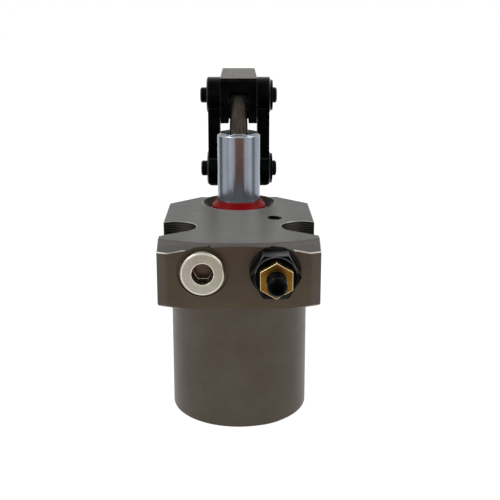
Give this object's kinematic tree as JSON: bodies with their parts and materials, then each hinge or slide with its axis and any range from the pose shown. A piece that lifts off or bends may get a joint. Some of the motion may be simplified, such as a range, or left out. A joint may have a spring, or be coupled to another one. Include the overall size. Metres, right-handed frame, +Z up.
{
  "type": "hydraulic lever cylinder",
  "caption": "Flanged hydraulic cylinder whose rod tips a clamping lever over two links, with a plugged port, a flow valve and bolt slots.",
  "frame": {"origin": "on the rod's axis, at the underside of the flange block, where the barrel starts", "axes": "+Z up along the rod, -Y towards the front face with the ports, +Y the way the lever's nose points, +X to the right seen from the ports"},
  "size_m": [0.052, 0.1246, 0.1271],
  "materials": {
    "body_steel": "ground and turned steel with a brown-grey phosphate tint",
    "cap_steel": "turned",
    "spring_steel": "blackened",
    "black_oxide": "oiled black oxide",
    "lever_steel": "black oxide, ground sides",
    "rod_chrome": "hard chrome, milled flats",
    "zinc_steel": "zinc plated, turned face",
    "yellow_zinc": "yellow chromate on zinc",
    "copper_seal": "soft metal",
    "red_wiper": "red polyurethane",
    "seal_plastic": "moulded",
    "guide_plastic": "filled plastic",
    "black_rubber": "matt"
  },
  "bodies": {
    "housing": {"body": "body_steel", "bottom_cap": "cap_steel", "cap_o_ring": "black_rubber", "cap_retaining_ring": "spring_steel", "wiper_ring": "red_wiper", "rod_seal": "seal_plastic", "rod_guide_ring": "guide_plastic", "port_plug": "zinc_steel", "plug_seal": "copper_seal", "valve_body": "black_oxide", "valve_o_ring": "black_rubber", "valve_lock_nut": "yellow_zinc", "passage_ball": "cap_steel", "passage_plug": "cap_steel", "face_o_rings": "black_rubber"},
    "rod": {"piston_rod": "rod_chrome", "piston_seal": "seal_plastic", "piston_guide_ring": "guide_plastic"},
    "lever": {"lever": "lever_steel", "lever_pin": "spring_steel"},
    "links": {"link_left": "black_oxide", "link_right": "black_oxide", "link_pin_upper": "black_oxide", "link_pin_lower": "black_oxide", "clip_upper": "spring_steel", "clip_lower": "spring_steel"},
    "adjuster": {"valve_adjuster": "black_oxide"}
  },
  "joints": [
    {"name": "rod_slide", "type": "slide", "parent": "housing", "child": "rod", "axis": [0, 0, 1], "range_m": [-0.017, 0.001]},
    {"name": "lever_tilt", "type": "hinge", "parent": "rod", "child": "lever", "pos_m": [0, 0, 0.0595], "axis": [1, 0, 0], "range_deg": [-3.7, 61.1]},
    {"name": "link_swing", "type": "hinge", "parent": "housing", "child": "links", "pos_m": [0, 0.017, 0.0314], "axis": [1, 0, 0], "range_deg": [-1.1, 17]},
    {"name": "adjuster_turn", "type": "hinge", "parent": "housing", "child": "adjuster", "pos_m": [0.0114, -0.07, 0.0126], "axis": [0, 1, 0], "range_deg": [-360, 360]}
  ],
  "couplings": [
    {"joint": "lever_tilt", "follows": "rod_slide", "rad_per_m": -62.6},
    {"joint": "link_swing", "follows": "rod_slide", "rad_per_m": -17.3}
  ]
}
